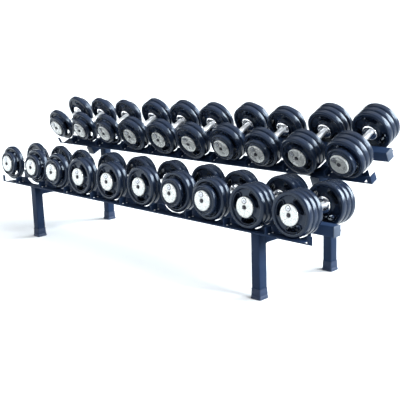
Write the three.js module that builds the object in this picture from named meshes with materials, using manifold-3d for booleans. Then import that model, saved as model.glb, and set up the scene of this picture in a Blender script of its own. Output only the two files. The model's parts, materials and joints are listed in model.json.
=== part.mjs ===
// Two-tier dumbbell rack loaded with twenty pro-style dumbbells.
// Units are millimetres, +Z is up, +X runs along the rails, -Y is the side the dumbbells
// are taken from. The group is centred so that its origin is the middle of its base.

import * as THREE from 'three';
import { mergeVertices } from 'three/addons/utils/BufferGeometryUtils.js';
import Module from 'manifold-3d';

const wasm = await Module();
wasm.setup();

// ---- driving dimensions -------------------------------------------------------------
const GAP = 0.3; // clearance left between touching pieces

const TUBE = 50; // square tube of legs, posts, arms and beams
const WALL = 3; // its wall
const FRAME_X = 883; // centre of each end frame, left and right of the middle
const LEG_Y = 271; // centre of the front legs (-) and of the rear posts (+)
const DECK_Z = 309; // top of the front legs and of the lower cross tubes

const BOOT_H = 50; // moulded boot: height
const BOOT_TOP = 55; // width at its top
const BOOT_FOOT = 61; // width at the floor
const BOOT_FLOOR = 6; // thickness under the tube

const RAIL_L = 2407; // length of every beam and of the front lips
const TRAY_L = 2320; // the saddle rails' trays stop short of the ends
const PITCH = 250; // from one dumbbell to the next
const PLACES = 10; // dumbbells on a tier
const ROW_SHIFT = -50; // the row starts nearer the left end of the rails
const RAIL_JOINT = 75; // the saddle rails are in two lengths, butted under the sixth place

const TRAY_H = 6.6; // folded saddle rail: overall height
const TRAY_T = 3; // its sheet
const FRONT_TRAY = [0, 54]; // front saddle rail, from its front edge backwards
const REAR_TRAY = [206.3, 272]; // rear saddle rail
const BEAM_U = [156, 206]; // box beam between the heads

const DIVIDER_T = 5; // upright plate between two places
const DIVIDER_D = 42; // its depth
const DIVIDER_H = 33; // its height above the saddle rail
const FOOT_W = 18; // turned foot of the plate
const FOOT_D = 54;
const FOOT_T = 2.5;
const STOP_W = 24; // upturned lip at each end of a front saddle rail
const STOP_H = 33;
const WEB_T = 3; // scalloped web standing on a front saddle rail
const WEB_H = 30;
const WEB_CLEAR = 4; // between the web and the round of a dumbbell
const UPPER_RISE = 16; // risers lift the upper beam off its arms

const ARM_FRONT = -4; // ends of the upper arms, from the front edge of the upper rail
const ARM_REAR = 300;
const UPPER_TILT = 25; // degrees, upper tier leans towards the user
const UPPER_Y = 141; // front top edge of the upper saddle rail
const UPPER_Z = 502;
const LOWER_Y = -304; // front top edge of the lower saddle rail
const LOWER_Z = DECK_Z + GAP + TRAY_H;

const HANDLE_R = 15;
const GRIP_HALF = 59; // half of the free handle between the collars
const COLLAR_R = 39;
const INNER_FACE = 71; // where a head begins, from the middle of the handle
const PLATE_T = 34;
const SMALL_T = 28;
const SMALL_R = 75;
const CAP_R = 49;
const CAP_T = 8;
const PLATE_R = 104;
const EDGE = 5; // rounding of the plates' rims
const ROUND = 16; // facets around a dumbbell

// per dumbbell, left to right: large plates in a head, smaller plates outside them, and how
// far its front cap stands behind the front edge of the rail
const LOWER_SET = [
  [1, 1, 16], [1, 1, 28], [1, 1, 4], [2, 0, 9], [2, 0, 15],
  [2, 0, 26], [2, 1, 11], [2, 1, -13], [3, 0, 5], [3, 0, 7],
];
const UPPER_SET = [
  [1, 1, 6], [1, 1, 6], [1, 1, 3], [2, 0, 0], [2, 0, 0],
  [2, 0, -6], [2, 1, -14], [2, 1, -28], [3, 0, -20], [3, 1, -32],
];

// ---- materials -----------------------------------------------------------------------
const paint = new THREE.MeshStandardMaterial({ color: 0x151d33, roughness: 0.4, metalness: 0.3 });
const bootRubber = new THREE.MeshStandardMaterial({ color: 0x16181d, roughness: 0.75, metalness: 0 });
const capPlastic = new THREE.MeshStandardMaterial({ color: 0x8295ad, roughness: 0.5, metalness: 0 });
const coatedIron = new THREE.MeshStandardMaterial({ color: 0x0b0e14, roughness: 0.3, metalness: 0.1 });

// ---- helpers --------------------------------------------------------------------------
const rack = new THREE.Group();

function addMesh(parent, name, geometry, material) {
  const mesh = new THREE.Mesh(geometry, material);
  mesh.name = name;
  parent.add(mesh);
  return mesh;
}

// a box given by its two corners
function block(x0, x1, y0, y1, z0, z1) {
  const g = new THREE.BoxGeometry(x1 - x0, y1 - y0, z1 - z0);
  g.translate((x0 + x1) / 2, (y0 + y1) / 2, (z0 + z1) / 2);
  return g;
}

// an outline in the Y-Z plane, run along X from x0 to x1
function prismX(outline, x0, x1, hole = null) {
  const shape = new THREE.Shape(outline.map(([y, z]) => new THREE.Vector2(y, z)));
  if (hole) shape.holes.push(new THREE.Path(hole.map(([y, z]) => new THREE.Vector2(y, z))));
  const g = new THREE.ExtrudeGeometry(shape, { depth: x1 - x0, bevelEnabled: false });
  const turn = new THREE.Matrix4().makeBasis(
    new THREE.Vector3(0, 1, 0),
    new THREE.Vector3(0, 0, 1),
    new THREE.Vector3(1, 0, 0),
  );
  g.applyMatrix4(turn);
  g.translate(x0, 0, 0);
  return g;
}

function rect(a0, a1, b0, b1) {
  return [[a0, b0], [a1, b0], [a1, b1], [a0, b1]];
}

function solid(geometry) {
  const bare = geometry.clone();
  bare.deleteAttribute('normal');
  bare.deleteAttribute('uv');
  const welded = mergeVertices(bare, 1e-4);
  return new wasm.Manifold(new wasm.Mesh({
    numProp: 3,
    vertProperties: new Float32Array(welded.attributes.position.array),
    triVerts: new Uint32Array(welded.index.array),
  }));
}

function surface(manifold) {
  const mesh = manifold.getMesh();
  const g = new THREE.BufferGeometry();
  g.setAttribute('position', new THREE.BufferAttribute(new Float32Array(mesh.vertProperties), 3));
  g.setIndex(new THREE.BufferAttribute(new Uint32Array(mesh.triVerts), 1));
  g.computeVertexNormals();
  return g;
}

function join(geometries) {
  return surface(geometries.map(solid).reduce((a, b) => a.add(b)));
}

function cut(geometry, tools) {
  return surface(tools.map(solid).reduce((a, b) => a.subtract(b), solid(geometry)));
}

// square tube along X, Y or Z between two corners, open at both ends
function tube(axis, x0, x1, y0, y1, z0, z1) {
  const w = WALL;
  const over = 1;
  const inner = {
    x: [x0 - over, x1 + over, y0 + w, y1 - w, z0 + w, z1 - w],
    y: [x0 + w, x1 - w, y0 - over, y1 + over, z0 + w, z1 - w],
    z: [x0 + w, x1 - w, y0 + w, y1 - w, z0 - over, z1 + over],
  }[axis];
  return cut(block(x0, x1, y0, y1, z0, z1), [block(...inner)]);
}

function tierGroup(y, z, tilt) {
  const g = new THREE.Group();
  g.position.set(0, y, z);
  g.rotation.x = THREE.MathUtils.degToRad(tilt);
  rack.add(g);
  return g;
}

// ---- end frames -------------------------------------------------------------------------
const H = TUBE / 2;
const tilt = THREE.MathUtils.degToRad(UPPER_TILT);

// the slanted top of a rear post follows the underside of the upper arm
function postTop(y) {
  const v = -TRAY_H - GAP - TUBE - GAP;
  const u = (y - UPPER_Y + v * Math.sin(tilt)) / Math.cos(tilt);
  return UPPER_Z + u * Math.sin(tilt) + v * Math.cos(tilt);
}

function rearPost(x) {
  const y0 = LEG_Y - H;
  const y1 = LEG_Y + H;
  const outline = [[y0, BOOT_FLOOR + GAP], [y1, BOOT_FLOOR + GAP], [y1, postTop(y1)], [y0, postTop(y0)]];
  const bore = block(x - H + WALL, x + H - WALL, y0 + WALL, y1 - WALL, -10, postTop(y1) + 40);
  return cut(prismX(outline, x - H, x + H), [bore]);
}

// moulded boot: a square cup, wider at the floor than at its top
function boot(x, y) {
  const outer = new THREE.CylinderGeometry(BOOT_TOP / Math.SQRT2, BOOT_FOOT / Math.SQRT2, BOOT_H, 4, 1);
  outer.rotateY(Math.PI / 4);
  outer.rotateX(Math.PI / 2);
  outer.translate(x, y, BOOT_H / 2);
  const w = H + GAP;
  return cut(outer, [block(x - w, x + w, y - w, y + w, BOOT_FLOOR, BOOT_H + 10)]);
}

for (const [side, sx] of [['left', -1], ['right', 1]]) {
  const x = sx * FRAME_X;
  addMesh(rack, `front_leg_${side}`,
    tube('z', x - H, x + H, -LEG_Y - H, -LEG_Y + H, BOOT_FLOOR + GAP, DECK_Z), paint);
  addMesh(rack, `rear_post_${side}`, rearPost(x), paint);
  addMesh(rack, `cross_tube_${side}`,
    tube('y', x - H, x + H, -LEG_Y + H + GAP, LEG_Y - H - GAP, DECK_Z - TUBE, DECK_Z), paint);
  addMesh(rack, `boot_front_${side}`, boot(x, -LEG_Y), bootRubber);
  addMesh(rack, `boot_rear_${side}`, boot(x, LEG_Y), bootRubber);
}

// ---- tiers --------------------------------------------------------------------------------
const railEnd = RAIL_L / 2;

// places between the dumbbells, where the dividers stand
const dividerXs = [];
for (let k = 1; k < PLACES; k += 1) dividerXs.push((k - PLACES / 2) * PITCH + ROW_SHIFT);

// web between the places: full height at the dividers, scooped out round every dumbbell
function scallopedWeb(u) {
  const half = TRAY_L / 2;
  const shape = new THREE.Shape([
    new THREE.Vector2(-half, -1),
    new THREE.Vector2(half, -1),
    new THREE.Vector2(half, WEB_H),
    new THREE.Vector2(-half, WEB_H),
  ]);
  const plate = new THREE.ExtrudeGeometry(shape, { depth: WEB_T, bevelEnabled: false });
  plate.rotateX(Math.PI / 2);
  plate.translate(0, u + WEB_T, 0);
  let web = solid(plate);
  for (let k = 0; k < PLACES; k += 1) {
    const scoop = new THREE.CylinderGeometry(PLATE_R + WEB_CLEAR, PLATE_R + WEB_CLEAR, 20, 48);
    scoop.translate((k - (PLACES - 1) / 2) * PITCH + ROW_SHIFT, u, PLATE_R + GAP);
    web = web.subtract(solid(scoop));
  }
  return web;
}

// folded sheet rail with its dividers: front says on which edge the dividers stand
function saddleRail(u0, u1, front, endPlate) {
  const t = TRAY_T;
  const half = TRAY_L / 2;
  const outline = [
    [u0, 0], [u0, -TRAY_H], [u0 + t, -TRAY_H], [u0 + t, -t],
    [u1 - t, -t], [u1 - t, -TRAY_H], [u1, -TRAY_H], [u1, 0],
  ].reverse();
  const pieces = [prismX(outline, -half, half)];
  const d0 = front ? u0 : u1 - DIVIDER_D;
  const f0 = front ? u0 + 1 : u1 - FOOT_D - 1;
  for (const x of dividerXs) {
    pieces.push(block(x - DIVIDER_T / 2, x + DIVIDER_T / 2, d0, d0 + DIVIDER_D, -1, DIVIDER_H));
    pieces.push(block(x, x + FOOT_W, f0, f0 + FOOT_D - 3, -1, FOOT_T));
  }
  if (!front) return pieces.map(solid).reduce((a, b) => a.add(b));
  pieces.push(block(-railEnd, railEnd, u0, u0 + t, -TRAY_H, 0));
  pieces.push(block(-railEnd, -railEnd + STOP_W, u0, u0 + 4, -TRAY_H, STOP_H));
  pieces.push(block(railEnd - STOP_W, railEnd, u0, u0 + 4, -TRAY_H, STOP_H));
  if (endPlate) {
    pieces.push(block(railEnd - DIVIDER_T, railEnd, u0, u0 + DIVIDER_D, -TRAY_H, DIVIDER_H));
  }
  const rail = pieces.map(solid).reduce((a, b) => a.add(b));
  return rail.add(scallopedWeb(u1 - WEB_T));
}

// the two lengths of a saddle rail, left and right of its joint
function railLengths(rail) {
  const far = RAIL_L;
  const keep = (x0, x1) => surface(rail.intersect(solid(block(x0, x1, -far, far, -far, far))));
  return { left: keep(-far, RAIL_JOINT - GAP / 2), right: keep(RAIL_JOINT + GAP / 2, far) };
}

// plug in the end of a square tube that runs along X or Y
function plug(axis, at, out, a, v0) {
  const i = WALL + GAP;
  const face = out > 0 ? [at + GAP, at + GAP + 2.5] : [at - GAP - 2.5, at - GAP];
  const deep = out > 0 ? [at - 12, at + GAP + 1] : [at - GAP - 1, at + 12];
  if (axis === 'x') {
    return join([
      block(face[0], face[1], a, a + TUBE, v0, v0 + TUBE),
      block(deep[0], deep[1], a + i, a + TUBE - i, v0 + i, v0 + TUBE - i),
    ]);
  }
  return join([
    block(a, a + TUBE, face[0], face[1], v0, v0 + TUBE),
    block(a + i, a + TUBE - i, deep[0], deep[1], v0 + i, v0 + TUBE - i),
  ]);
}

function fillTier(group, name, endPlate, rise) {
  const rails = {
    front: saddleRail(...FRONT_TRAY, true, endPlate),
    rear: saddleRail(...REAR_TRAY, false, endPlate),
  };
  for (const [edge, rail] of Object.entries(rails)) {
    for (const [side, length] of Object.entries(railLengths(rail))) {
      addMesh(group, `${name}_${edge}_rail_${side}`, length, paint);
    }
  }
  const v0 = -TRAY_H + rise;
  addMesh(group, `${name}_beam`, tube('x', -railEnd + 3, railEnd - 3, ...BEAM_U, v0, v0 + TUBE), paint);
  addMesh(group, `${name}_beam_cap_left`, plug('x', -railEnd + 3, -1, BEAM_U[0], v0), capPlastic);
  addMesh(group, `${name}_beam_cap_right`, plug('x', railEnd - 3, 1, BEAM_U[0], v0), capPlastic);
}

const lower = tierGroup(LOWER_Y, LOWER_Z, 0);
const upper = tierGroup(UPPER_Y, UPPER_Z, UPPER_TILT);
fillTier(lower, 'lower', false, 0);
fillTier(upper, 'upper', true, UPPER_RISE);

for (const [side, sx] of [['left', -1], ['right', 1]]) {
  const x = sx * FRAME_X;
  const top = -TRAY_H - GAP;
  addMesh(upper, `upper_arm_${side}`,
    tube('y', x - H, x + H, ARM_FRONT, ARM_REAR, top - TUBE, top), paint);
  addMesh(upper, `beam_riser_${side}`,
    block(x - H, x + H, ...BEAM_U, -TRAY_H, -TRAY_H + UPPER_RISE - GAP), paint);
  addMesh(upper, `arm_cap_front_${side}`, plug('y', ARM_FRONT, -1, x - H, top - TUBE), capPlastic);
  addMesh(upper, `arm_cap_rear_${side}`, plug('y', ARM_REAR, 1, x - H, top - TUBE), capPlastic);
}

// ---- dumbbells -------------------------------------------------------------------------------
function headLength(plates, small) {
  return plates * PLATE_T + small * SMALL_T + CAP_T;
}

// half of the turned outline, from the middle of the handle outwards: [radius, distance]
function halfOutline(plates, small) {
  const b = INNER_FACE + plates * PLATE_T;
  const points = [
    [HANDLE_R, GRIP_HALF], [COLLAR_R, GRIP_HALF], [COLLAR_R, INNER_FACE],
    [PLATE_R - EDGE, INNER_FACE], [PLATE_R, INNER_FACE + EDGE], [PLATE_R, b - EDGE], [PLATE_R - EDGE, b],
  ];
  let end = b;
  if (small) {
    end = b + SMALL_T;
    points.push([SMALL_R, b], [SMALL_R, end]);
  }
  points.push([CAP_R, end], [CAP_R, end + CAP_T], [0, end + CAP_T]);
  return points;
}

// turned about Y, with a facet facing down; the facets touch the true round from outside
function dumbbell(plates, small) {
  const grow = 1 / Math.cos(Math.PI / ROUND);
  const half = halfOutline(plates, small).map(([r, d]) => [r * grow, d]);
  const mirrored = half.map(([r, d]) => [r, -d]).reverse();
  const profile = [...mirrored, ...half].map(([r, d]) => new THREE.Vector2(r, d));
  const g = new THREE.LatheGeometry(profile, ROUND);
  g.rotateY(Math.PI / ROUND);
  return g;
}

function fillRow(group, name, set) {
  set.forEach(([plates, small, setback], i) => {
    const middle = setback + headLength(plates, small) + INNER_FACE;
    const geometry = dumbbell(plates, small);
    geometry.translate((i - (PLACES - 1) / 2) * PITCH + ROW_SHIFT, middle, PLATE_R + GAP);
    addMesh(group, `${name}_dumbbell_${String(i + 1).padStart(2, '0')}`, geometry, coatedIron);
  });
}

fillRow(lower, 'lower', LOWER_SET);
fillRow(upper, 'upper', UPPER_SET);

// ---- origin: middle of the base ------------------------------------------------------------------
rack.updateMatrixWorld(true);
const box = new THREE.Box3().setFromObject(rack, true);
rack.position.set(-(box.min.x + box.max.x) / 2, -(box.min.y + box.max.y) / 2, -box.min.z);
rack.updateMatrixWorld(true);

export default rack;
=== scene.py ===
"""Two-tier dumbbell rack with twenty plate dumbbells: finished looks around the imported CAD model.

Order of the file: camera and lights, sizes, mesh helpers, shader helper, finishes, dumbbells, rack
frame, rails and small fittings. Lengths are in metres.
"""

import json
import math

import bmesh
import bpy
from mathutils import Matrix, Vector

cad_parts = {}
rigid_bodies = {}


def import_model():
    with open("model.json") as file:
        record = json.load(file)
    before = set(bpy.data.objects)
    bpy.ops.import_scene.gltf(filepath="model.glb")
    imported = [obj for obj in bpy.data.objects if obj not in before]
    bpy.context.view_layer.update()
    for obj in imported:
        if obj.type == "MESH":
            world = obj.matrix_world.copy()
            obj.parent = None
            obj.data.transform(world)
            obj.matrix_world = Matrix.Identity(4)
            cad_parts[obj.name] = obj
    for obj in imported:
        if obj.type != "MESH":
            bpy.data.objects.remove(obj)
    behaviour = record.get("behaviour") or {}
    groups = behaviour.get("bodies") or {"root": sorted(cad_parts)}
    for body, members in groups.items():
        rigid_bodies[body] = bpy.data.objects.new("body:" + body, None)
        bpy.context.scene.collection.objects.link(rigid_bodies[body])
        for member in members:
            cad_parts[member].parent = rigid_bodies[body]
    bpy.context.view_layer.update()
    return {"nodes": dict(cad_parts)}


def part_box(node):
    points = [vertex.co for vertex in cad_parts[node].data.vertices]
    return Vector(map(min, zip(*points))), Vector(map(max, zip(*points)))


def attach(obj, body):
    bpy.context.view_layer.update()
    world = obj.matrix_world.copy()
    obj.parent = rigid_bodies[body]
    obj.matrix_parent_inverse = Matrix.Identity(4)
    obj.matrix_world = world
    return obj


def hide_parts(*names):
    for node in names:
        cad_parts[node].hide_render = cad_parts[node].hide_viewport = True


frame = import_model()
scene = bpy.context.scene


# ---------------------------------------------------------------- camera and light

FLOOR_R = 12.0      # where the floor starts to sweep up
SWEEP_R = 2.0
SWEEP_STEPS = 6
WALL_TOP = 3.4
STAGE_TURNS = 96


def add_camera():
    yaw, pitch, roll = math.radians(45.33), math.radians(12.47), math.radians(-1.98)
    forward = Vector((-math.sin(yaw) * math.cos(pitch),
                      math.cos(yaw) * math.cos(pitch),
                      -math.sin(pitch)))
    right = Vector((math.cos(yaw), math.sin(yaw), 0))
    up = right.cross(forward)
    local_x = right * math.cos(roll) + up * math.sin(roll)
    local_y = up * math.cos(roll) - right * math.sin(roll)
    data = bpy.data.cameras.new("camera")
    data.sensor_width = 36.0
    data.lens = 69.75
    data.clip_end = 60.0
    cam = bpy.data.objects.new("camera", data)
    scene.collection.objects.link(cam)
    turn = Matrix((local_x, local_y, -forward)).transposed().to_4x4()
    cam.matrix_world = Matrix.Translation((3.1197, -2.8810, 1.2056)) @ turn
    scene.camera = cam


def add_light(name, kind, at, aim, strength, size, colour=(1, 1, 1)):
    data = bpy.data.lights.new(name, kind)
    data.energy = strength
    data.color = colour
    if kind == "AREA":
        data.shape = "RECTANGLE"
        data.size, data.size_y = size
    else:
        data.angle = math.radians(size)
    lamp = bpy.data.objects.new(name, data)
    lamp.location = at
    lamp.rotation_euler = (Vector(aim) - Vector(at)).to_track_quat("-Z", "Y").to_euler()
    scene.collection.objects.link(lamp)


def stage_finish(name, glow):
    mat = bpy.data.materials.new(name)
    mat.use_nodes = True
    shader = mat.node_tree.nodes["Principled BSDF"]
    shader.inputs["Base Color"].default_value = (0.68, 0.68, 0.68, 1)
    shader.inputs["Roughness"].default_value = 0.95
    shader.inputs["Specular IOR Level"].default_value = 0.0
    shader.inputs["Emission Color"].default_value = (1, 1, 1, 1)
    shader.inputs["Emission Strength"].default_value = glow
    return mat


def add_stage():
    """A round white floor that sweeps up into a low white wall, under a dim even sky."""
    world = bpy.data.worlds.new("studio")
    scene.world = world
    world.use_nodes = True
    background = world.node_tree.nodes["Background"]
    background.inputs["Color"].default_value = (0.80, 0.90, 1.0, 1)
    background.inputs["Strength"].default_value = 0.18
    section = [(FLOOR_R, 0.0)]
    for i in range(1, SWEEP_STEPS + 1):
        a = math.pi / 2 * i / SWEEP_STEPS
        section.append((FLOOR_R + SWEEP_R * math.sin(a), SWEEP_R - SWEEP_R * math.cos(a)))
    section.append((FLOOR_R + SWEEP_R, WALL_TOP))
    mesh = bpy.data.meshes.new("floor")
    turns = STAGE_TURNS
    points = [(0, 0, 0)]
    for radius, height in section:
        for k in range(turns):
            a = 2 * math.pi * k / turns
            points.append((radius * math.cos(a), radius * math.sin(a), height))
    faces = [(0, 1 + k, 1 + (k + 1) % turns) for k in range(turns)]
    for i in range(len(section) - 1):
        a, b = 1 + i * turns, 1 + (i + 1) * turns
        faces += [(a + k, b + k, b + (k + 1) % turns, a + (k + 1) % turns) for k in range(turns)]
    mesh.from_pydata(points, [], faces)
    mesh.materials.append(stage_finish("floor_white", 0.0))
    mesh.materials.append(stage_finish("wall_white", 0.85))
    for k, polygon in enumerate(mesh.polygons):
        polygon.use_smooth = True
        polygon.material_index = 1 if k >= turns else 0
    floor = bpy.data.objects.new("floor", mesh)
    scene.collection.objects.link(floor)


scene.view_settings.view_transform = "Standard"
add_camera()
add_stage()
add_light("key_back_right", "SUN", (5.2, 6.4, 4.6), (0, 0, 0), 9.5, 40, (0.86, 0.94, 1.0))
add_light("side_right", "SUN", (9.3, 1.0, 3.2), (0, 0, 0), 9.0, 22, (0.88, 0.95, 1.0))
add_light("top", "AREA", (0.2, -0.3, 4.0), (0, 0, 0), 160, (7.0, 6.0))


# ---------------------------------------------------------------- sizes

PLATE_R = 0.104
PLATE_T = 0.034
SMALL_R = 0.075
SMALL_T = 0.028
CAP_R = 0.049
CAP_T = 0.008
COLLAR_R = 0.039
COLLAR_T = 0.012
HANDLE_R = 0.015
INNER_FACE = 0.071

LOWER_SET = [(1, 1), (1, 1), (1, 1), (2, 0), (2, 0), (2, 0), (2, 1), (2, 1), (3, 0), (3, 0)]
UPPER_SET = [(1, 1), (1, 1), (1, 1), (2, 0), (2, 0), (2, 0), (2, 1), (2, 1), (3, 0), (3, 1)]
UPPER_TILT = math.radians(25)

# how far each dumbbell has rolled about its handle, in degrees
LOWER_ROLL = [4, -6, 3, 0, -3, 2, -4, 3, -2, 2]
UPPER_ROLL = [20, 24, 30, 26, 12, 22, 34, 12, 40, 42]


# ---------------------------------------------------------------- mesh helpers

def new_object(name, mesh):
    obj = bpy.data.objects.new(name, mesh)
    scene.collection.objects.link(obj)
    return obj


def mesh_object(name, bm, material, smooth=True):
    mesh = bpy.data.meshes.new(name)
    bm.to_mesh(mesh)
    bm.free()
    for polygon in mesh.polygons:
        polygon.use_smooth = smooth
    mesh.materials.append(material)
    return new_object(name, mesh)


def evaluate(obj):
    """Apply the modifiers and leave a plain mesh."""
    graph = bpy.context.evaluated_depsgraph_get()
    graph.update()
    mesh = bpy.data.meshes.new_from_object(obj.evaluated_get(graph))
    old = obj.data
    obj.modifiers.clear()
    obj.data = mesh
    mesh.name = obj.name
    bpy.data.meshes.remove(old)
    return obj


def lathe_rings(bm, uv, profile, segments, closed_ends):
    """Turn a list of (radius, distance) about +Z. UVs: turn in U, profile length in V."""
    rings = []
    for radius, dist in profile:
        ring = []
        for k in range(segments):
            a = 2 * math.pi * k / segments
            ring.append(bm.verts.new((radius * math.cos(a), radius * math.sin(a), dist)))
        rings.append(ring)
    run = 0.0
    for i in range(len(profile) - 1):
        (r0, d0), (r1, d1) = profile[i], profile[i + 1]
        step = math.hypot(r1 - r0, d1 - d0)
        for k in range(segments):
            n = (k + 1) % segments
            face = bm.faces.new((rings[i][k], rings[i][n], rings[i + 1][n], rings[i + 1][k]))
            u0, u1 = k / segments, (k + 1) / segments
            corners = ((u0, run), (u1, run), (u1, run + step), (u0, run + step))
            for loop, corner in zip(face.loops, corners):
                loop[uv].uv = corner
        run += step
    if closed_ends:
        for ring, dist, flip in ((rings[0], profile[0][1], True),
                                 (rings[-1], profile[-1][1], False)):
            centre = bm.verts.new((0, 0, dist))
            for k in range(segments):
                n = (k + 1) % segments
                trio = (ring[n], ring[k], centre) if flip else (ring[k], ring[n], centre)
                bm.faces.new(trio)
    return rings


ARC_STEPS = 3


def rounded(points, radius):
    """Round each inner corner of an outline of (r, d) points by short arcs."""
    out = [points[0]]
    for before, here, after in zip(points, points[1:], points[2:]):
        p, q, s = Vector(before), Vector(here), Vector(after)
        cut = min(radius, (p - q).length * 0.49, (s - q).length * 0.49)
        a = q + (p - q).normalized() * cut
        b = q + (s - q).normalized() * cut
        for i in range(ARC_STEPS + 1):
            t = i / ARC_STEPS
            out.append(tuple(a * (1 - t) ** 2 + q * 2 * t * (1 - t) + b * t ** 2))
    out.append(points[-1])
    return out


def boolean(target, tool, operation):
    """Join target with tool or cut it, and remove the tool."""
    mod = target.modifiers.new("cut", "BOOLEAN")
    mod.operation = operation
    mod.solver = "MANIFOLD"
    mod.object = tool
    evaluate(target)
    bpy.data.objects.remove(tool)


def frame_matrix(origin, tilt):
    """Dumbbell frame: +X along the rails, +Y up from the rails, +Z along the handle to the user."""
    along = Vector((0, -math.cos(tilt), -math.sin(tilt)))
    up = Vector((0, -math.sin(tilt), math.cos(tilt)))
    turn = Matrix((Vector((1, 0, 0)), up, along)).transposed().to_4x4()
    return Matrix.Translation(origin) @ turn


# ---------------------------------------------------------------- shader helper

class Value:
    """A socket that carries a number, with arithmetic that adds Math nodes."""

    def __init__(self, finish, socket):
        self.finish = finish
        self.socket = socket

    def _math(self, operation, first, second):
        node = self.finish.node("ShaderNodeMath", {"operation": operation}, {0: first, 1: second})
        return Value(self.finish, node.outputs[0])

    def __add__(self, other):
        return self._math("ADD", self, other)

    def __radd__(self, other):
        return self._math("ADD", other, self)

    def __rsub__(self, other):
        return self._math("SUBTRACT", other, self)

    def __mul__(self, other):
        return self._math("MULTIPLY", self, other)


class Finish:
    """A material under construction."""

    def __init__(self, name):
        self.material = bpy.data.materials.new(name)
        self.material.use_nodes = True
        self.tree = self.material.node_tree
        self.shader = self.tree.nodes["Principled BSDF"]

    def node(self, kind, settings=None, inputs=None):
        made = self.tree.nodes.new(kind)
        for key, value in (settings or {}).items():
            setattr(made, key, value)
        for key, value in (inputs or {}).items():
            self.put(made.inputs[key], value)
        return made

    def put(self, socket, value):
        if isinstance(value, Value):
            value = value.socket
        if isinstance(value, bpy.types.NodeSocket):
            self.tree.links.new(value, socket)
        else:
            socket.default_value = value

    def set(self, **inputs):
        for key, value in inputs.items():
            self.put(self.shader.inputs[key.replace("_", " ")], value)

    def value(self, node, output=0):
        return Value(self, node.outputs[output])

    def place(self, output="Object"):
        return self.node("ShaderNodeTexCoord").outputs[output]

    def noise(self, scale, detail, roughness=0.5):
        node = self.node("ShaderNodeTexNoise", None, {
            "Vector": self.place(), "Scale": scale, "Detail": detail, "Roughness": roughness})
        return self.value(node, "Fac")

    def mix(self, factor, a, b):
        node = self.node("ShaderNodeMix", {"data_type": "RGBA"}, {0: factor, 6: a, 7: b})
        return node.outputs[2]

    def steps(self, value, low, high):
        """0 below low, 1 above high, straight between."""
        node = self.node("ShaderNodeMapRange", None, {
            "Value": value, "From Min": low, "From Max": high})
        return self.value(node)

    def bump(self, height, strength, distance):
        inputs = {"Height": height, "Strength": strength, "Distance": distance}
        return self.node("ShaderNodeBump", None, inputs).outputs["Normal"]


EDGE_BEND = (0.02, 0.12)    # change of surface direction: none of an edge, all of an edge


def edge_mask(finish, radius):
    """1 on edges: where the surface direction changes within the radius."""
    soft = finish.node("ShaderNodeBevel", {"samples": 4}, {"Radius": radius}).outputs["Normal"]
    true = finish.node("ShaderNodeNewGeometry").outputs["Normal"]
    dot = finish.node("ShaderNodeVectorMath", {"operation": "DOT_PRODUCT"}, {0: soft, 1: true})
    return finish.steps(1 - finish.value(dot, "Value"), *EDGE_BEND)


# ---------------------------------------------------------------- finishes

def moulded_rubber():
    f = Finish("plate_rubber")
    cloud = f.noise(14, 4)
    grain = f.noise(900, 2)
    scuffs = f.steps(f.noise(55, 6, 0.7), 0.62, 0.78)
    rub = edge_mask(f, 0.0015) * f.steps(f.noise(60, 5), 0.35, 0.7)
    tone = f.mix(cloud, (0.0045, 0.0080, 0.0180, 1), (0.0070, 0.0125, 0.0270, 1))
    f.set(Base_Color=f.mix(rub * 0.35, tone, (0.05, 0.07, 0.10, 1)),
          Roughness=0.19 + cloud * 0.08 + scuffs * 0.10,
          Specular_IOR_Level=0.30,
          Specular_Tint=(0.80, 0.90, 1.0, 1),
          Normal=f.bump(grain * 0.5 + scuffs * 0.3, 0.08, 0.0005))
    return f.material


def polished_chrome():
    f = Finish("chrome")
    haze = f.noise(30, 4)
    lines = f.noise(400, 2)
    f.set(Base_Color=f.mix(haze, (0.86, 0.87, 0.89, 1), (0.93, 0.93, 0.94, 1)),
          Metallic=1.0,
          Roughness=0.14 + haze * 0.08,
          Normal=f.bump(lines, 0.015, 0.0003))
    return f.material


KNURL_CUTS = 48.0           # cuts round the grip
KNURL_ADVANCE = 3200.0      # radians of cut phase per metre along the grip
FULL_TURN = 6.28318


def knurled_chrome():
    """The grip: crossing spiral cuts in the piece's own UVs (turn, length in metres)."""
    f = Finish("knurled_chrome")
    split = f.node("ShaderNodeSeparateXYZ", None, {"Vector": f.place("UV")})
    turn = f.value(split, 0)
    length = f.value(split, 1)
    waves = []
    for sign in (1, -1):
        phase = turn * KNURL_CUTS * FULL_TURN + length * (sign * KNURL_ADVANCE)
        waves.append(f.value(f.node("ShaderNodeMath", {"operation": "SINE"}, {0: phase})))
    diamonds = (waves[0] * 0.5 + 0.5) * (waves[1] * 0.5 + 0.5)
    haze = f.noise(60, 3)
    f.set(Base_Color=f.mix(haze, (0.84, 0.85, 0.87, 1), (0.95, 0.95, 0.96, 1)),
          Metallic=1.0,
          Roughness=0.42 + haze * 0.1,
          Normal=f.bump(diamonds, 0.14, 0.0003))
    return f.material


def turned_cap():
    """End caps: satin nickel with a faint brushed haze and fine handling marks."""
    f = Finish("turned_cap")
    haze = f.noise(38, 5, 0.6)
    marks = f.steps(f.noise(210, 6, 0.75), 0.60, 0.72)
    f.set(Base_Color=f.mix(haze, (0.50, 0.51, 0.50, 1), (0.57, 0.58, 0.55, 1)),
          Metallic=0.60,
          Roughness=0.22 + haze * 0.10 + marks * 0.10,
          Normal=f.bump(marks, 0.02, 0.0002))
    return f.material


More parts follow.
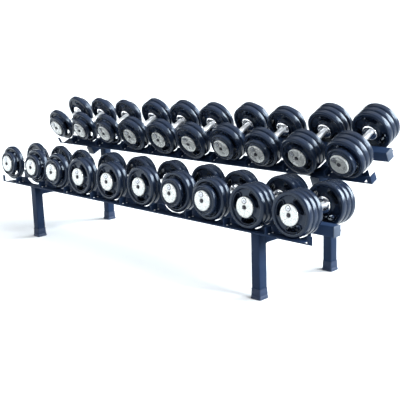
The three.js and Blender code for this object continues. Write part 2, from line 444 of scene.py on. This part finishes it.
def powder_coat():
    f = Finish("navy_powder_coat")
    cloud = f.noise(5, 3)
    peel = f.noise(520, 2)
    worn = edge_mask(f, 0.0012) * f.steps(f.noise(45, 4), 0.30, 0.65)
    paint = f.mix(cloud, (0.0066, 0.0140, 0.0340, 1), (0.0080, 0.0168, 0.0395, 1))
    f.set(Base_Color=f.mix(worn * 0.5, paint, (0.14, 0.19, 0.27, 1)),
          Roughness=0.42 + cloud * 0.06,
          Specular_IOR_Level=0.08,
          Specular_Tint=(0.78, 0.90, 1.0, 1),
          Normal=f.bump(peel, 0.10, 0.0004))
    return f.material


def boot_rubber():
    f = Finish("boot_rubber")
    cloud = f.noise(20, 4)
    grain = f.noise(1200, 2)
    dust = f.steps(f.noise(70, 5, 0.7), 0.5, 0.8)
    f.set(Base_Color=f.mix(dust * 0.2 + cloud * 0.15,
                           (0.012, 0.020, 0.042, 1), (0.04, 0.055, 0.085, 1)),
          Roughness=0.50 + dust * 0.2,
          Specular_IOR_Level=0.12,
          Normal=f.bump(grain, 0.2, 0.0005))
    return f.material


def cap_plastic():
    f = Finish("slate_plastic")
    cloud = f.noise(25, 4)
    grain = f.noise(1500, 2)
    f.set(Base_Color=f.mix(cloud, (0.014, 0.024, 0.044, 1), (0.020, 0.033, 0.058, 1)),
          Roughness=0.38 + cloud * 0.15,
          Normal=f.bump(grain, 0.18, 0.0004))
    return f.material


def blackened_steel():
    f = Finish("blackened_steel")
    cloud = f.noise(160, 4)
    f.set(Base_Color=f.mix(cloud, (0.012, 0.012, 0.015, 1), (0.04, 0.04, 0.048, 1)),
          Metallic=0.6,
          Roughness=0.3 + cloud * 0.2,
          Normal=f.bump(f.noise(1800, 2), 0.15, 0.0003))
    return f.material


def zinc_plate():
    f = Finish("zinc_plate")
    cells = f.node("ShaderNodeTexVoronoi", None, {"Vector": f.place(), "Scale": 500.0})
    tone = f.value(cells, "Distance")
    f.set(Base_Color=f.mix(tone, (0.5, 0.52, 0.56, 1), (0.68, 0.69, 0.72, 1)),
          Metallic=1.0,
          Roughness=0.28 + tone * 0.2)
    return f.material


RUBBER = moulded_rubber()
CHROME = polished_chrome()
KNURL = knurled_chrome()
CAP = turned_cap()
PAINT = powder_coat()
BOOT = boot_rubber()
PLASTIC = cap_plastic()
BLACK_STEEL = blackened_steel()
ZINC = zinc_plate()


# ---------------------------------------------------------------- parts of a dumbbell

OPENINGS = (40, 160, 280)  # where the three grip openings of a large plate lie, in degrees
OPENING_R = 0.066
OPENING_HALF = 0.0115
OPENING_SPAN = math.radians(25)
CUTTER_HALF = 0.05
LIP_PROUD = 0.0062
END_STEPS = 8


def opening_outline(turn, grow):
    """A slot bent round the plate: a list of (x, y)."""
    half = OPENING_HALF + grow
    points = []
    for i in range(11):
        a = turn - OPENING_SPAN + 2 * OPENING_SPAN * i / 10
        points.append(((OPENING_R + half) * math.cos(a), (OPENING_R + half) * math.sin(a)))
    points += opening_end(turn + OPENING_SPAN, half, 0.0)
    for i in range(9):
        a = turn + OPENING_SPAN - 2 * OPENING_SPAN * i / 8
        points.append(((OPENING_R - half) * math.cos(a), (OPENING_R - half) * math.sin(a)))
    points += opening_end(turn - OPENING_SPAN, half, math.pi)
    return points


def opening_end(middle, half, first):
    """The half circle that closes a slot."""
    x, y = OPENING_R * math.cos(middle), OPENING_R * math.sin(middle)
    turns = [middle + first + math.pi * i / END_STEPS for i in range(1, END_STEPS)]
    return [(x + half * math.cos(b), y + half * math.sin(b)) for b in turns]


def opening_cutter(turn):
    bm = bmesh.new()
    outline = opening_outline(turn, 0)
    low = [bm.verts.new((x, y, -CUTTER_HALF)) for x, y in outline]
    high = [bm.verts.new((x, y, CUTTER_HALF)) for x, y in outline]
    n = len(outline)
    for i in range(n):
        j = (i + 1) % n
        bm.faces.new((low[i], low[j], high[j], high[i]))
    bm.faces.new(list(reversed(low)))
    bm.faces.new(high)
    return mesh_object("cutter", bm, RUBBER)


def opening_lip(turn, web):
    """Raised collar round an opening, standing proud of the web on both sides."""
    top = web + LIP_PROUD
    section = [(-0.002, -top + 0.002), (0.0006, -top), (0.0034, -top + 0.0003),
               (0.0052, -web + 0.001), (0.0052, web - 0.001), (0.0034, top - 0.0003),
               (0.0006, top), (-0.002, top - 0.002)]
    bm = bmesh.new()
    loops = []
    for grow, height in section:
        loops.append([bm.verts.new((x, y, height)) for x, y in opening_outline(turn, grow)])
    n = len(loops[0])
    m = len(loops)
    for s in range(m):
        t = (s + 1) % m
        for i in range(n):
            j = (i + 1) % n
            bm.faces.new((loops[s][i], loops[s][j], loops[t][j], loops[t][i]))
    bmesh.ops.recalc_face_normals(bm, faces=bm.faces)
    return mesh_object("lip", bm, RUBBER)


def turned_ring(name, side, segments):
    """A closed ring: side is its outline from the bore to the middle of the rim."""
    profile = side + [(r, -d) for r, d in reversed(side[:-1])]
    bm = bmesh.new()
    uv = bm.loops.layers.uv.new("UVMap")
    rings = lathe_rings(bm, uv, profile, segments, False)
    for k in range(segments):
        n = (k + 1) % segments
        bm.faces.new((rings[-1][k], rings[-1][n], rings[0][n], rings[0][k]))
    bmesh.ops.recalc_face_normals(bm, faces=bm.faces)
    return mesh_object(name, bm, RUBBER)


def large_plate():
    """A grip plate centred on its own middle: hub, thin web with three openings, flat thick rim."""
    half = PLATE_T / 2 - 0.0004
    web = 0.0060
    side = rounded([(0.0150, half - 0.0012), (0.0440, half - 0.0012), (0.0495, web),
                    (0.0810, web), (0.0850, half - 0.0008), (0.0880, half), (0.0975, half),
                    (PLATE_R - 0.0006, half - 0.0058), (PLATE_R, 0.0)], 0.0024)
    plate = turned_ring("plate", side, 84)
    for turn in OPENINGS:
        boolean(plate, opening_lip(math.radians(turn), web), "UNION")
    for turn in OPENINGS:
        boolean(plate, opening_cutter(math.radians(turn)), "DIFFERENCE")
    tallest = max(abs(v.co.z) for v in plate.data.vertices)
    if tallest > PLATE_T / 2:
        raise RuntimeError(f"an opening is not cut cleanly: {2000 * tallest:.1f} mm thick")
    return plate


def small_plate():
    """The smaller plate outside the large ones: thick rim, shallow dish."""
    half = SMALL_T / 2 - 0.0004
    side = rounded([(0.0150, half - 0.0006), (0.0515, half - 0.0006), (0.0560, half - 0.0055),
                    (0.0600, half - 0.0055), (0.0635, half - 0.0004), (0.0660, half),
                    (0.0705, half), (SMALL_R - 0.0006, half - 0.0048), (SMALL_R, 0.0)], 0.003)
    return turned_ring("small_plate", side, 72)


def turned(name, corners, material, radius, segments):
    """A closed turned part: corners start and end on the axis."""
    profile = rounded(corners, radius)
    bm = bmesh.new()
    uv = bm.loops.layers.uv.new("UVMap")
    lathe_rings(bm, uv, profile[1:-1], segments, True)
    bmesh.ops.recalc_face_normals(bm, faces=bm.faces)
    return mesh_object(name, bm, material)


def prism(name, sides, radius, low, high, chamfer, material):
    """A hexagon head or a similar prism about +Z, its top edge chamfered."""
    bm = bmesh.new()
    rings = []
    for r, z in ((radius, low), (radius, high - chamfer), (radius - chamfer * 1.4, high)):
        turns = [2 * math.pi * (k + 0.5) / sides for k in range(sides)]
        rings.append([bm.verts.new((r * math.cos(a), r * math.sin(a), z)) for a in turns])
    for a, b in zip(rings, rings[1:]):
        for k in range(sides):
            n = (k + 1) % sides
            bm.faces.new((a[k], a[n], b[n], b[k]))
    bm.faces.new(list(reversed(rings[0])))
    bm.faces.new(rings[-1])
    return mesh_object(name, bm, material, smooth=False)


def flat_number(name, text, size, thickness, material):
    """Plain raised digits, centred on the origin, facing +Z."""
    curve = bpy.data.curves.new(name, "FONT")
    curve.body = text
    curve.size = size
    curve.align_x = "CENTER"
    curve.align_y = "CENTER"
    curve.extrude = thickness / 2
    curve.resolution_u = 2
    obj = new_object(name, curve)
    graph = bpy.context.evaluated_depsgraph_get()
    mesh = bpy.data.meshes.new_from_object(obj.evaluated_get(graph))
    bpy.data.objects.remove(obj)
    mesh.materials.clear()
    mesh.materials.append(material)
    return new_object(name, mesh)


def gather(name, parts, placing, sharp=35):
    """Copy meshes with their placings into one piece whose object sits at the origin."""
    bm = bmesh.new()
    materials = []
    for source, matrix in parts:
        mesh = source.data.copy()
        mesh.transform(placing @ matrix)
        if (placing @ matrix).determinant() < 0:
            mesh.flip_normals()
        for material in mesh.materials:
            if material not in materials:
                materials.append(material)
        lookup = [materials.index(material) for material in mesh.materials]
        for polygon in mesh.polygons:
            polygon.material_index = lookup[polygon.material_index]
        bm.from_mesh(mesh)
        bpy.data.meshes.remove(mesh)
    mesh = bpy.data.meshes.new(name)
    bm.to_mesh(mesh)
    bm.free()
    for material in materials:
        mesh.materials.append(material)
    for polygon in mesh.polygons:
        polygon.use_smooth = True
    mesh.set_sharp_from_angle(angle=math.radians(sharp))
    return new_object(name, mesh)


def shift(z):
    return Matrix.Translation((0, 0, z))


FACE_ABOUT = Matrix.Rotation(math.pi, 4, "Y")

plate_shape = large_plate()
small_shape = small_plate()
cap_shape = turned("cap", [
    (0, -0.0015), (CAP_R - 0.001, -0.0015), (CAP_R, 0.0045), (CAP_R - 0.0028, CAP_T),
    (0.0135, CAP_T), (0.0125, CAP_T - 0.0012), (0, CAP_T - 0.0012)], CAP, 0.0014, 80)
collar_shape = turned("collar", [
    (0, 0), (0.0285, 0), (0.0345, 0.0012), (COLLAR_R, 0.0042), (COLLAR_R, COLLAR_T + 0.0008),
    (0, COLLAR_T + 0.0008)], CHROME, 0.0016, 72)
handle_shape = turned("handle", [
    (0, -0.0600), (HANDLE_R, -0.0600), (HANDLE_R, 0.0600), (0, 0.0600)], KNURL, 0.001, 48)
washer_shape = turned("washer", [
    (0, 0), (0.0105, 0), (0.0105, 0.0016), (0, 0.0016)], BLACK_STEEL, 0.0004, 40)
bolt_shape = prism("bolt", 6, 0.0082, 0.0014, 0.0062, 0.0008, BLACK_STEEL)
badge_shape = turned("badge", [
    (0, 0), (0.0135, 0), (0.0135, 0.0010), (0, 0.0010)], BLACK_STEEL, 0.0003, 48)
badge_face = turned("badge_face", [
    (0, 0.0006), (0.0100, 0.0006), (0.0100, 0.0015), (0, 0.0015)], ZINC, 0.0002, 48)
screw_shape = prism("socket", 6, 0.0042, -0.0002, 0.0006, 0.0002, BLACK_STEEL)
templates = [plate_shape, small_shape, cap_shape, collar_shape, handle_shape, washer_shape,
             bolt_shape, badge_shape, badge_face, screw_shape]


def dumbbell(tier, index, plates, small, roll, origin, tilt, label):
    body = f"{tier}_dumbbell_{index + 1:02d}"
    placing = frame_matrix(origin, tilt) @ Matrix.Rotation(math.radians(roll), 4, "Z")
    rubber, metal, caps, fittings = [], [], [], []
    end = INNER_FACE + plates * PLATE_T + small * SMALL_T
    for side in (Matrix.Identity(4), Matrix.Diagonal((1, 1, -1, 1))):
        for i in range(plates):
            rubber.append((plate_shape, side @ shift(INNER_FACE + (i + 0.5) * PLATE_T)))
        if small:
            rubber.append((small_shape, side @ shift(INNER_FACE + plates * PLATE_T + SMALL_T / 2)))
    for side in (Matrix.Identity(4), FACE_ABOUT):
        metal.append((collar_shape, side @ shift(INNER_FACE - COLLAR_T)))
        caps.append((cap_shape, side @ shift(end)))
        fittings.append((washer_shape, side @ shift(end + CAP_T - 0.0014)))
        fittings.append((bolt_shape, side @ shift(end + CAP_T - 0.0014)))
        for k in range(4):
            at = (Matrix.Rotation(math.radians(45 + 90 * k), 4, "Z")
                  @ Matrix.Translation((0.0235, 0, 0)))
            fittings.append((screw_shape, side @ shift(INNER_FACE - COLLAR_T) @ FACE_ABOUT @ at))
        up = Matrix.Translation((0, 0.0305, end + CAP_T - 0.0004))
        fittings.append((badge_shape, side @ up))
        fittings.append((badge_face, side @ up))
        digits = flat_number("digits", label, 0.0120, 0.0004, BLACK_STEEL)
        fittings.append((digits, side @ up @ shift(0.0017)))
    pieces = [gather(f"{body}_plates", rubber, placing),
              gather(f"{body}_collars", metal, placing),
              gather(f"{body}_grip", [(handle_shape, Matrix.Identity(4))], placing),
              gather(f"{body}_caps", caps, placing),
              gather(f"{body}_fittings", fittings, placing)]
    for piece in pieces:
        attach(piece, body)
    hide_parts(body)
    for obj in [o for o in bpy.data.objects if o.name.startswith("digits")]:
        bpy.data.objects.remove(obj)


def box_middle(node):
    low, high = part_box(node)
    return (low + high) / 2


# both heads of a dumbbell are alike, so the middle of its box is the middle of its handle
for tier, sets, rolls, tilt in (("lower", LOWER_SET, LOWER_ROLL, 0.0),
                                ("upper", UPPER_SET, UPPER_ROLL, UPPER_TILT)):
    for i, ((plates, small), roll) in enumerate(zip(sets, rolls)):
        node = f"{tier}_dumbbell_{i + 1:02d}"
        label = str(10 + 2 * i if tier == "upper" else 30 + 2 * i)
        dumbbell(tier, i, plates, small, roll, box_middle(node), tilt, label)

for obj in templates:
    bpy.data.objects.remove(obj)


# ---------------------------------------------------------------- square tubes of the frame

WALL = 0.003
CORNER = 0.0045
CORNER_STEPS = 4


def rounded_square(half, corner):
    points = []
    for quarter in range(4):
        mid = math.pi / 2 * quarter
        cx = (half - corner) * (1 if quarter in (0, 3) else -1)
        cy = (half - corner) * (1 if quarter in (0, 1) else -1)
        for i in range(CORNER_STEPS + 1):
            a = mid + math.pi / 2 * i / CORNER_STEPS
            points.append((cx + corner * math.cos(a), cy + corner * math.sin(a)))
    return points


def tube_piece(name, half, start, end, place, material):
    """A square tube with rounded corners. start and end give the cut at (p, q) across the tube;
    place turns (p, q, along) into a point of the rack."""
    outer = rounded_square(half, CORNER)
    inset = rounded_square(half - 0.0005, CORNER - 0.0004)
    inner = rounded_square(half - WALL, 0.0015)
    bm = bmesh.new()

    def ring(section, cut, back):
        return [bm.verts.new(place(p, q, cut(p, q) + back)) for p, q in section]

    rings = [ring(inset, start, 0), ring(outer, start, 0.0005), ring(outer, end, -0.0005),
             ring(inset, end, 0), ring(inner, end, 0), ring(inner, start, 0)]
    n = len(outer)
    for a, b in zip(rings, rings[1:] + rings[:1]):
        for i in range(n):
            j = (i + 1) % n
            bm.faces.new((a[i], a[j], b[j], b[i]))
    bmesh.ops.recalc_face_normals(bm, faces=bm.faces)
    obj = mesh_object(name, bm, material)
    obj.data.set_sharp_from_angle(angle=math.radians(50))
    return obj


def straight_tube(node, name):
    """A tube along its box's longest side, in place of the CAD node."""
    low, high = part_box(node)
    size = high - low
    along = max(range(3), key=lambda k: size[k])
    across = [k for k in range(3) if k != along]
    middle = box_middle(node)

    def place(p, q, s):
        point = [0.0, 0.0, 0.0]
        point[along] = s
        point[across[0]] = middle[across[0]] + p
        point[across[1]] = middle[across[1]] + q
        return point

    half = size[across[0]] / 2
    obj = tube_piece(name, half, lambda p, q: low[along], lambda p, q: high[along], place, PAINT)
    stand_for(obj, node)


def stand_for(obj, nodes):
    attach(obj, "rack")
    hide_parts(*([nodes] if isinstance(nodes, str) else nodes))


TUBE = 0.050

# the upper tier's own axes: from the middle of its beam, back along the tilt and square to it
BEAM_CENTRE = box_middle("upper_beam")
BACK = Vector((0, math.cos(UPPER_TILT), math.sin(UPPER_TILT)))
UP = Vector((0, -math.sin(UPPER_TILT), math.cos(UPPER_TILT)))


def on_upper(x, back, up):
    """A point given from the middle of the upper beam, along the tilted tier."""
    return Vector((x, BEAM_CENTRE.y, BEAM_CENTRE.z)) + BACK * back + UP * up


for side in ("left", "right"):
    straight_tube(f"front_leg_{side}", f"front_leg_tube_{side}")
    straight_tube(f"cross_tube_{side}", f"lower_cross_tube_{side}")
straight_tube("lower_beam", "lower_box_beam")

low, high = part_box("upper_beam")
upper_beam = tube_piece("upper_box_beam", TUBE / 2, lambda p, q: low.x, lambda p, q: high.x,
                        lambda p, q, s: on_upper(s, p, q), PAINT)
stand_for(upper_beam, "upper_beam")

for side in ("left", "right"):
    low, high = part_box(f"upper_arm_{side}")
    middle = box_middle(f"upper_arm_{side}")
    length = (high.y - low.y - TUBE * math.sin(UPPER_TILT)) / math.cos(UPPER_TILT)
    arm = tube_piece(f"upper_arm_tube_{side}", TUBE / 2,
                     lambda p, q: -length / 2, lambda p, q: length / 2,
                     lambda p, q, s: middle + Vector((p, 0, 0)) + BACK * s + UP * q, PAINT)
    stand_for(arm, f"upper_arm_{side}")

    low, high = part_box(f"rear_post_{side}")
    x = (low.x + high.x) / 2
    y = (low.y + high.y) / 2
    slope = math.tan(UPPER_TILT)
    top = high.z - slope * TUBE / 2
    post = tube_piece(f"rear_post_tube_{side}", TUBE / 2,
                      lambda p, q: low.z, lambda p, q: top + slope * q,
                      lambda p, q, s: (x + p, y + q, s), PAINT)
    stand_for(post, f"rear_post_{side}")


# ---------------------------------------------------------------- boots

def boot_piece(side, end):
    """Moulded cup: flared foot, waist, rolled lip at the top and two shallow grooves."""
    node = f"boot_{end}_{side}"
    low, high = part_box(node)
    middle = (low + high) / 2
    height = high.z - low.z
    foot = (high.x - low.x) / 2
    levels = [(foot - 0.0016, 0.0), (foot, 0.0016), (foot, 0.006), (foot - 0.0008, 0.0085),
              (foot - 0.0022, 0.0160), (foot - 0.0031, 0.0170), (foot - 0.0031, 0.0180),
              (foot - 0.0024, 0.0190), (foot - 0.0032, height - 0.0100),
              (foot - 0.0038, height - 0.0062), (foot - 0.0031, height - 0.0052),
              (foot - 0.0030, height - 0.0012), (foot - 0.0036, height)]
    inner = TUBE / 2 + 0.0003
    levels += [(inner + 0.0006, height), (inner, height - 0.0006), (inner, 0.0060)]
    bm = bmesh.new()
    rings = []
    for half, z in levels:
        corner = 0.0065 if half > inner + 0.001 else 0.0045
        rings.append([bm.verts.new((middle.x + p, middle.y + q, low.z + z))
                      for p, q in rounded_square(half, corner)])
    n = len(rings[0])
    for a, b in zip(rings, rings[1:]):
        for i in range(n):
            j = (i + 1) % n
            bm.faces.new((a[i], a[j], b[j], b[i]))
    bm.faces.new(rings[0])
    bm.faces.new(rings[-1])
    bmesh.ops.recalc_face_normals(bm, faces=bm.faces)
    obj = mesh_object(f"boot_{end}_{side}_moulded", bm, BOOT)
    obj.data.set_sharp_from_angle(angle=math.radians(40))
    stand_for(obj, node)


for side in ("left", "right"):
    for end in ("front", "rear"):
        boot_piece(side, end)


# ---------------------------------------------------------------- rails, dividers and plugs

def softened_copy(nodes, name, width, material):
    """The shape of one or two CAD nodes with triangles merged and edges broken.
    Two lengths that butt end to end become one."""
    nodes = [nodes] if isinstance(nodes, str) else nodes
    bm = bmesh.new()
    for node in nodes:
        mesh = frame["nodes"][node].data.copy()
        bm.from_mesh(mesh)
        bpy.data.meshes.remove(mesh)
    bmesh.ops.remove_doubles(bm, verts=bm.verts, dist=0.00002)
    if len(nodes) == 2:
        seam = (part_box(nodes[0])[1].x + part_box(nodes[1])[0].x) / 2
        at_seam = [v for v in bm.verts if abs(v.co.x - seam) < 0.0003]
        ends = [f for f in bm.faces if all(abs(v.co.x - seam) < 0.0003 for v in f.verts)]
        bmesh.ops.delete(bm, geom=ends, context="FACES_ONLY")
        for v in at_seam:
            v.co.x = seam
        bmesh.ops.remove_doubles(bm, verts=bm.verts, dist=0.00005)
    bmesh.ops.dissolve_limit(bm, angle_limit=math.radians(1), verts=bm.verts, edges=bm.edges)
    obj = mesh_object(name, bm, material, smooth=False)
    for polygon in obj.data.polygons:
        polygon.material_index = 0
    mod = obj.modifiers.new("broken_edges", "BEVEL")
    mod.width = width
    mod.segments = 2
    mod.limit_method = "ANGLE"
    mod.angle_limit = math.radians(30)
    mod.use_clamp_overlap = True
    evaluate(obj)
    for polygon in obj.data.polygons:
        polygon.use_smooth = True
    obj.data.set_sharp_from_angle(angle=math.radians(40))
    stand_for(obj, nodes)


for tier in ("lower", "upper"):
    for end in ("front", "rear"):
        lengths = [f"{tier}_{end}_rail_{side}" for side in ("left", "right")]
        softened_copy(lengths, f"{tier}_{end}_saddle_rail", 0.0007, PAINT)
    for side in ("left", "right"):
        softened_copy(f"{tier}_beam_cap_{side}", f"{tier}_beam_plug_{side}",
                      0.0009, PLASTIC)
for side in ("left", "right"):
    softened_copy(f"beam_riser_{side}", f"upper_beam_riser_{side}",
                  0.0009, PAINT)
    for end in ("front", "rear"):
        softened_copy(f"arm_cap_{end}_{side}", f"arm_plug_{end}_{side}",
                      0.0009, PLASTIC)


# ---------------------------------------------------------------- screws and weld beads

ROW_X = -0.01225    # middle of the row of places
PITCH = 0.250
# the foot of each tier's front edge as (y, z), and the tier's tilt
TIERS = {"lower": ((-0.3811, 0.3159), 0.0), "upper": ((0.0639, 0.5020), UPPER_TILT)}


def tier_matrix(tier):
    """From (along the rail, back from the front edge, up from the tray) to the rack."""
    (y, z), tilt = TIERS[tier]
    turn = Matrix((Vector((1, 0, 0)), Vector((0, math.cos(tilt), math.sin(tilt))),
                   Vector((0, -math.sin(tilt), math.cos(tilt))))).transposed().to_4x4()
    return Matrix.Translation((ROW_X, y, z)) @ turn


def new_tree(name, inputs):
    tree = bpy.data.node_groups.new(name, "GeometryNodeTree")
    tree.interface.new_socket("Geometry", in_out="INPUT", socket_type="NodeSocketGeometry")
    keys = {label: tree.interface.new_socket(label, in_out="INPUT", socket_type=kind).identifier
            for label, kind in inputs}
    tree.interface.new_socket("Geometry", in_out="OUTPUT", socket_type="NodeSocketGeometry")
    return tree, keys, tree.nodes.new("NodeGroupInput"), tree.nodes.new("NodeGroupOutput")


def finish_tree(tree, made, given, out):
    real = tree.nodes.new("GeometryNodeRealizeInstances")
    coat = tree.nodes.new("GeometryNodeSetMaterial")
    tree.links.new(made, real.inputs["Geometry"])
    tree.links.new(real.outputs["Geometry"], coat.inputs["Geometry"])
    tree.links.new(given.outputs["Finish"], coat.inputs["Material"])
    tree.links.new(coat.outputs["Geometry"], out.inputs["Geometry"])


def screw_tree():
    """A screw on every point, each turned by a different amount about its own axis."""
    tree, keys, given, out = new_tree("screws_on_points", [
        ("Screw", "NodeSocketObject"), ("Size", "NodeSocketFloat"), ("Seed", "NodeSocketInt"),
        ("Finish", "NodeSocketMaterial")])
    shape = tree.nodes.new("GeometryNodeObjectInfo")
    shape.inputs["As Instance"].default_value = True
    turn = tree.nodes.new("FunctionNodeRandomValue")
    turn.data_type = "FLOAT_VECTOR"
    turn.inputs["Max"].default_value = (0, 0, 2 * math.pi)
    spin = tree.nodes.new("FunctionNodeEulerToRotation")
    place = tree.nodes.new("GeometryNodeInstanceOnPoints")
    tree.links.new(given.outputs["Screw"], shape.inputs["Object"])
    tree.links.new(given.outputs["Seed"], turn.inputs["Seed"])
    tree.links.new(turn.outputs["Value"], spin.inputs["Euler"])
    tree.links.new(given.outputs["Geometry"], place.inputs["Points"])
    tree.links.new(shape.outputs["Geometry"], place.inputs["Instance"])
    tree.links.new(spin.outputs["Rotation"], place.inputs["Rotation"])
    tree.links.new(given.outputs["Size"], place.inputs["Scale"])
    finish_tree(tree, place.outputs["Instances"], given, out)
    return tree, keys


def bead_tree():
    """A rippled weld bead along every chain of edges."""
    tree, keys, given, out = new_tree("weld_beads", [
        ("Bead Radius", "NodeSocketFloat"), ("Ripple Pitch", "NodeSocketFloat"),
        ("Finish", "NodeSocketMaterial")])
    path = tree.nodes.new("GeometryNodeMeshToCurve")
    spaced = tree.nodes.new("GeometryNodeResampleCurve")
    spaced.mode = "LENGTH"
    index = tree.nodes.new("GeometryNodeInputIndex")
    phase = tree.nodes.new("ShaderNodeMath")
    phase.operation = "MULTIPLY"
    phase.inputs[1].default_value = math.pi / 2
    wave = tree.nodes.new("ShaderNodeMath")
    wave.operation = "SINE"
    scaled = tree.nodes.new("ShaderNodeMath")
    scaled.operation = "MULTIPLY_ADD"
    scaled.inputs[1].default_value = 0.20
    scaled.inputs[2].default_value = 0.80
    swell = tree.nodes.new("GeometryNodeSetCurveRadius")
    section = tree.nodes.new("GeometryNodeCurvePrimitiveCircle")
    section.inputs["Resolution"].default_value = 8
    sweep = tree.nodes.new("GeometryNodeCurveToMesh")
    sweep.inputs["Fill Caps"].default_value = True
    tree.links.new(given.outputs["Geometry"], path.inputs["Mesh"])
    tree.links.new(path.outputs["Curve"], spaced.inputs["Curve"])
    tree.links.new(given.outputs["Ripple Pitch"], spaced.inputs["Length"])
    tree.links.new(index.outputs["Index"], phase.inputs[0])
    tree.links.new(phase.outputs["Value"], wave.inputs[0])
    tree.links.new(wave.outputs["Value"], scaled.inputs[0])
    tree.links.new(spaced.outputs["Curve"], swell.inputs["Curve"])
    tree.links.new(scaled.outputs["Value"], swell.inputs["Radius"])
    tree.links.new(swell.outputs["Curve"], sweep.inputs["Curve"])
    if "Scale" in sweep.inputs:
        tree.links.new(scaled.outputs["Value"], sweep.inputs["Scale"])
    tree.links.new(section.outputs["Curve"], sweep.inputs["Profile Curve"])
    tree.links.new(given.outputs["Bead Radius"], section.inputs["Radius"])
    finish_tree(tree, sweep.outputs["Mesh"], given, out)
    return tree, keys


def grow(name, points, edges, made, values):
    """Run a tree on bare points or edges and keep its result as a plain mesh."""
    tree, keys = made
    mesh = bpy.data.meshes.new(name)
    mesh.from_pydata(points, edges, [])
    obj = new_object(name, mesh)
    mod = obj.modifiers.new("grow", "NODES")
    mod.node_group = tree
    for label, value in values.items():
        mod[keys[label]] = value
    return evaluate(obj)


def as_rack_piece(name, parts, sharp):
    piece = gather(name, [(obj, Matrix.Identity(4)) for obj in parts], Matrix.Identity(4), sharp)
    for obj in parts:
        bpy.data.objects.remove(obj)
    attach(piece, "rack")


SCREW_PLACES = (0.014, 0.040, 0.231, 0.257)     # back from the tier's front edge
SCREW_ASIDE = 0.0105                            # from the middle of a divider

button_screw = turned("button_screw", [
    (0, -0.0005), (0.0046, -0.0005), (0.0046, 0.0008), (0.0036, 0.0024),
    (0.0022, 0.0028), (0.0020, 0.0012), (0, 0.0010)], ZINC, 0.0006, 20)
screws = screw_tree()
screw_parts = []
for number, tier in enumerate(TIERS):
    spots = []
    for k in range(1, 10):
        x = (k - 5) * PITCH + SCREW_ASIDE
        spots += [(x, u, 0.0025) for u in SCREW_PLACES]
    part = grow(f"{tier}_screws", spots, [], screws,
                {"Screw": button_screw, "Size": 1.0, "Seed": 7 + number, "Finish": ZINC})
    part.data.transform(tier_matrix(tier))
    screw_parts.append(part)
as_rack_piece("divider_screws", screw_parts, 40)
bpy.data.objects.remove(button_screw)


def chain(corners, points, edges):
    """Add an open run of straight edges."""
    first = len(points)
    points += [tuple(c) for c in corners]
    edges += [(first + i, first + i + 1) for i in range(len(corners) - 1)]


seam_points, seam_edges = [], []
for side in ("left", "right"):
    low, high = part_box(f"cross_tube_{side}")
    for y in (low.y - 0.0002, high.y + 0.0002):
        chain([(low.x, y, high.z - 0.004), (low.x, y, low.z),
               (high.x, y, low.z), (high.x, y, high.z - 0.004)], seam_points, seam_edges)
    low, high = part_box(f"rear_post_{side}")
    slope = math.tan(UPPER_TILT)
    for x in (low.x, high.x):
        chain([(x, low.y + TUBE * i / 2, high.z - slope * (TUBE - TUBE * i / 2))
               for i in range(3)], seam_points, seam_edges)
    chain([(low.x, low.y, high.z - slope * TUBE), (high.x, low.y, high.z - slope * TUBE)],
          seam_points, seam_edges)
    chain([(low.x, high.y, high.z), (high.x, high.y, high.z)], seam_points, seam_edges)
seam_parts = [grow("seams", seam_points, seam_edges, bead_tree(),
                   {"Bead Radius": 0.0026, "Ripple Pitch": 0.0011, "Finish": PAINT})]
as_rack_piece("weld_beads", seam_parts, 60)
